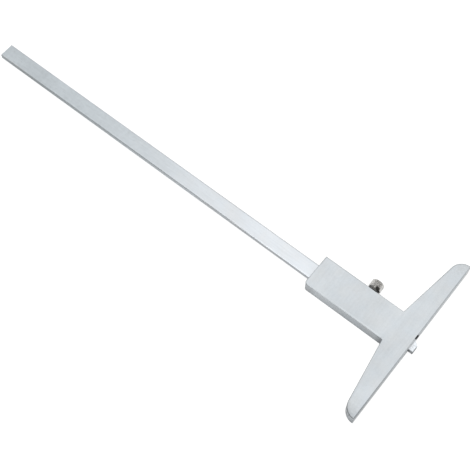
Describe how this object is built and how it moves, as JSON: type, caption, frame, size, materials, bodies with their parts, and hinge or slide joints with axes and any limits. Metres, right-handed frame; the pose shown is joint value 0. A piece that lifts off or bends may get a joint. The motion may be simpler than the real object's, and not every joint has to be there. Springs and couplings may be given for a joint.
{
  "type": "vernier depth gauge",
  "caption": "Vernier depth gauge: T-shaped base with tapered wings, flat sliding beam, side lock screw, front cover with reading window and bevelled vernier plate.",
  "frame": {"origin": "middle of the lapped measuring face: mid-width of the base, mid-thickness, in the plane of the face", "axes": "+X runs up the beam, away from the workpiece; +Y across the base, away from the lock screw; +Z out of the plain back, which is up in the picture; the scale side faces -Z and lies on the table"},
  "size_m": [0.2778, 0.1, 0.0076],
  "materials": {
    "base_steel": "fine ground, satin",
    "cover_steel": "fine ground, satin",
    "screw_steel": "turned, bright",
    "scale_chrome": "matt chrome with filled graduations",
    "beam_steel": "ground and lapped, matt on the scale side",
    "spring_bronze": "rolled strip",
    "pad_brass": "turned",
    "lock_chrome": "bright plated, straight knurl",
    "graduation_black": "black filled lines and figures on the scale side"
  },
  "bodies": {
    "base": {"base_frame": "base_steel", "front_cover": "cover_steel", "cover_screws": "screw_steel", "vernier_plate": "scale_chrome", "vernier_screws": "screw_steel", "leaf_spring": "spring_bronze", "spring_set_screws": "screw_steel"},
    "beam": {"main_beam": "beam_steel"},
    "pad": {"thrust_pad": "pad_brass"},
    "lock": {"lock_screw": "lock_chrome"}
  },
  "joints": [
    {"name": "beam_slide", "type": "slide", "parent": "base", "child": "beam", "axis": [-1, 0, 0], "range_m": [-0.00265, 0.19735]},
    {"name": "lock_advance", "type": "slide", "parent": "base", "child": "pad", "axis": [0, 1, 0], "range_m": [-0.0005, 0.00065], "deforming": ["leaf_spring"]},
    {"name": "lock_turn", "type": "hinge", "parent": "pad", "child": "lock", "pos_m": [0.0315, -0.01, 0], "axis": [0, 1, 0], "range_deg": [-361, 469]}
  ],
  "couplings": [
    {"joint": "lock_turn", "follows": "lock_advance", "rad_per_m": 12566}
  ]
}
